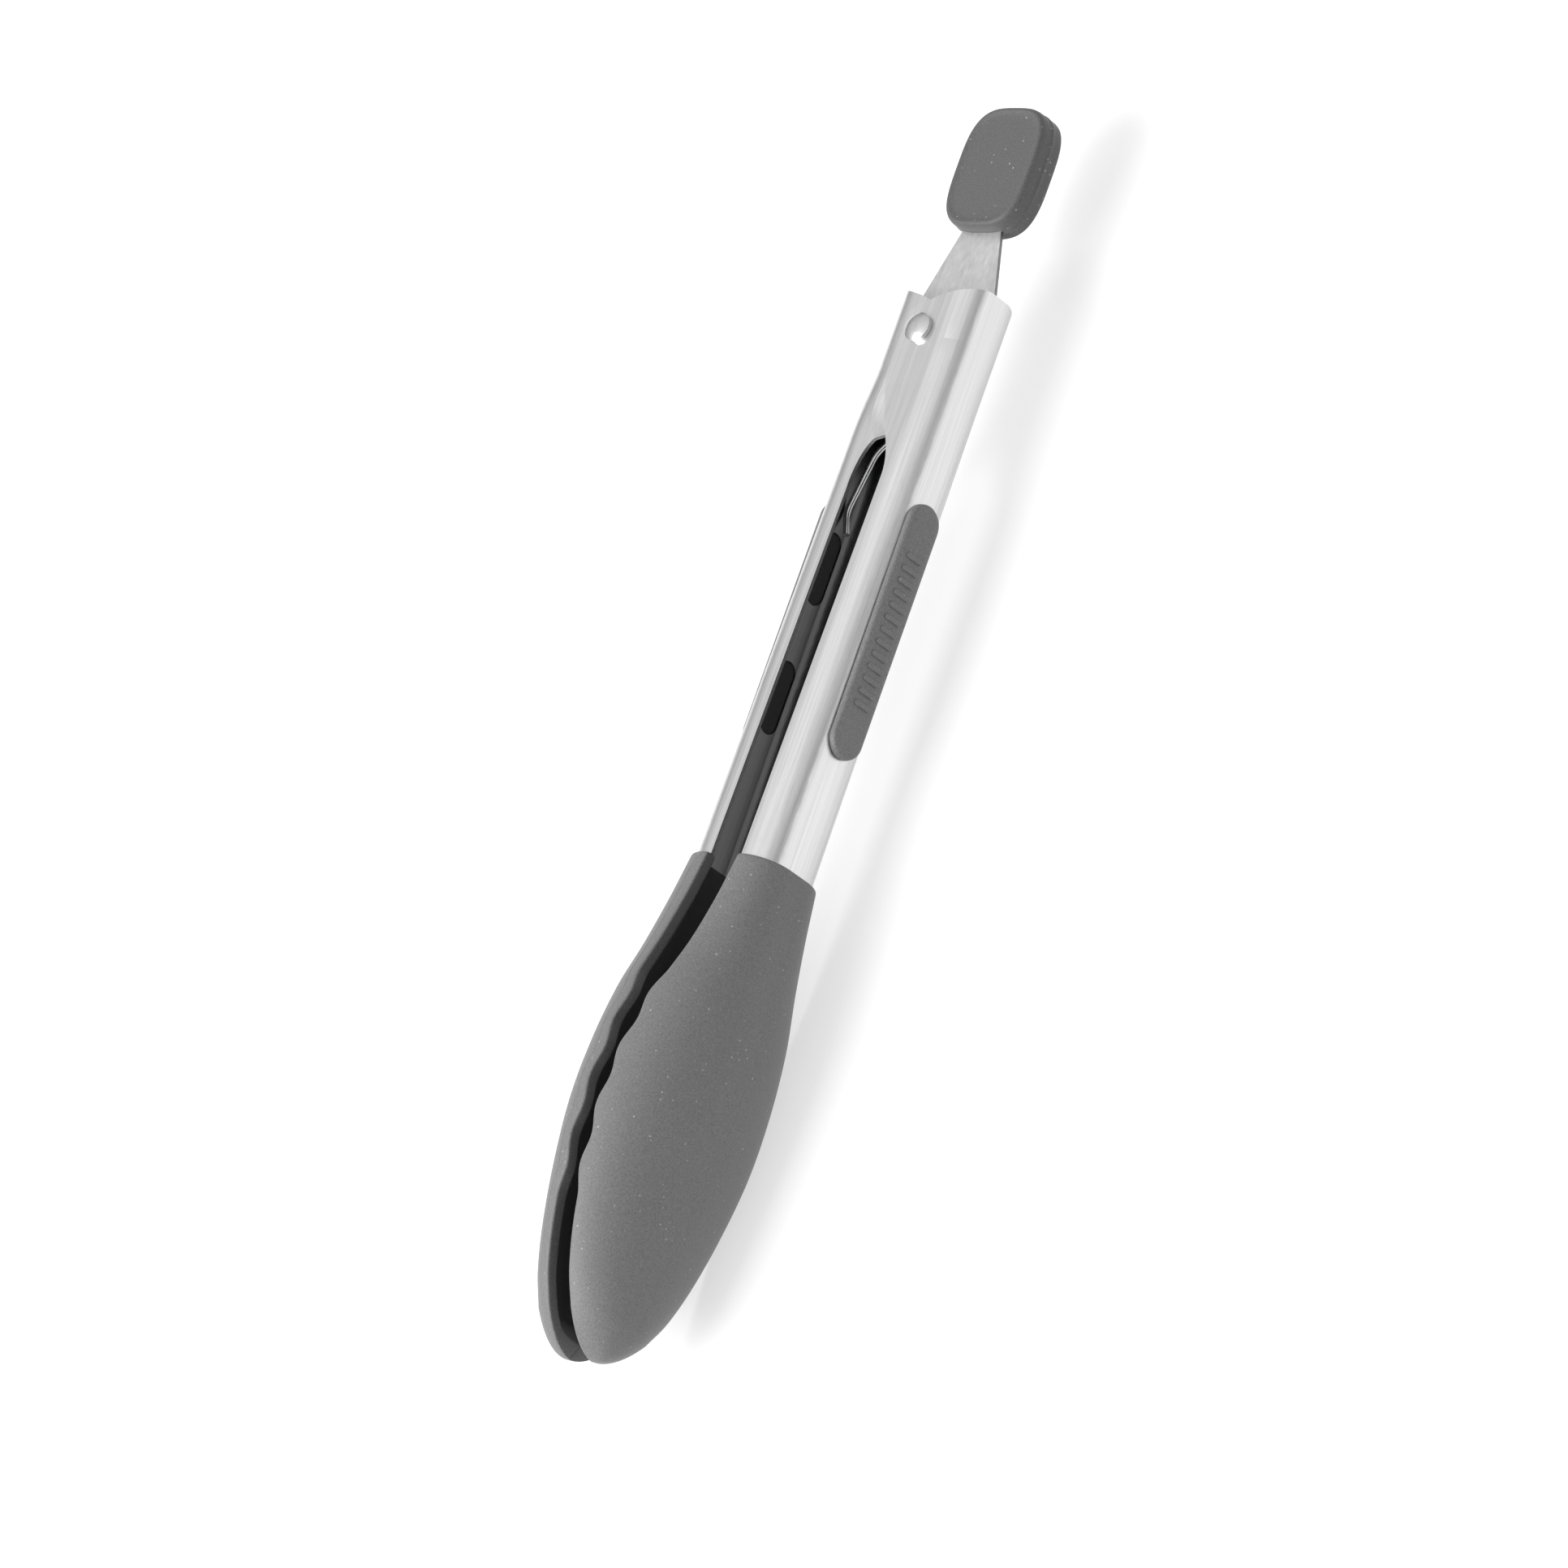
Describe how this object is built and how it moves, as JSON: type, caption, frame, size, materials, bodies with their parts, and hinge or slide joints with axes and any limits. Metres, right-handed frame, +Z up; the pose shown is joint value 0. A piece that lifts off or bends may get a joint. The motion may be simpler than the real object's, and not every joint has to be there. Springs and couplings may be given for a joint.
{
  "type": "spring loaded kitchen tongs",
  "caption": "Locking kitchen tongs: steel channel arms on a rivet, silicone scoop heads with scalloped rims, soft grip pads, a torsion spring and a pull-tab lock.",
  "frame": {"origin": "centre of the footprint, at the lowest point of the tongs lying on their side", "axes": "+X along the tongs from the heads to the pull tab, +Y towards the back arm, +Z up along the rivet"},
  "size_m": [0.2642, 0.0302, 0.041],
  "materials": {
    "arm_steel": "brushed lengthwise",
    "lock_steel": "satin sheet",
    "rivet_steel": "polished dome",
    "spring_wire": "drawn wire",
    "head_silicone": "matte grey silicone",
    "grip_silicone": "matte grey silicone",
    "tab_silicone": "matte grey silicone"
  },
  "bodies": {
    "pivot": {"rivet": "rivet_steel", "spring_coil": "spring_wire"},
    "front_arm": {"arm_front": "arm_steel", "head_front": "head_silicone", "grip_pad_front": "grip_silicone", "spring_leg_front": "spring_wire"},
    "back_arm": {"arm_back": "arm_steel", "head_back": "head_silicone", "grip_pad_back": "grip_silicone", "spring_leg_back": "spring_wire"},
    "lock": {"lock_plate": "lock_steel", "pull_tab": "tab_silicone"}
  },
  "joints": [
    {"name": "front_arm_hinge", "type": "hinge", "parent": "pivot", "child": "front_arm", "pos_m": [0.0816, 0, 0.0205], "axis": [0, 0, 1], "range_deg": [0, 12]},
    {"name": "back_arm_hinge", "type": "hinge", "parent": "pivot", "child": "back_arm", "pos_m": [0.0816, 0, 0.0205], "axis": [0, 0, 1], "range_deg": [-12, 0]},
    {"name": "lock_slide", "type": "slide", "parent": "pivot", "child": "lock", "axis": [1, 0, 0], "range_m": [-0.0095, 0]}
  ],
  "couplings": [
    {"joint": "back_arm_hinge", "follows": "front_arm_hinge", "ratio": -1},
    {"joint": "lock_slide", "follows": "front_arm_hinge", "m_per_rad": -0.04535}
  ]
}
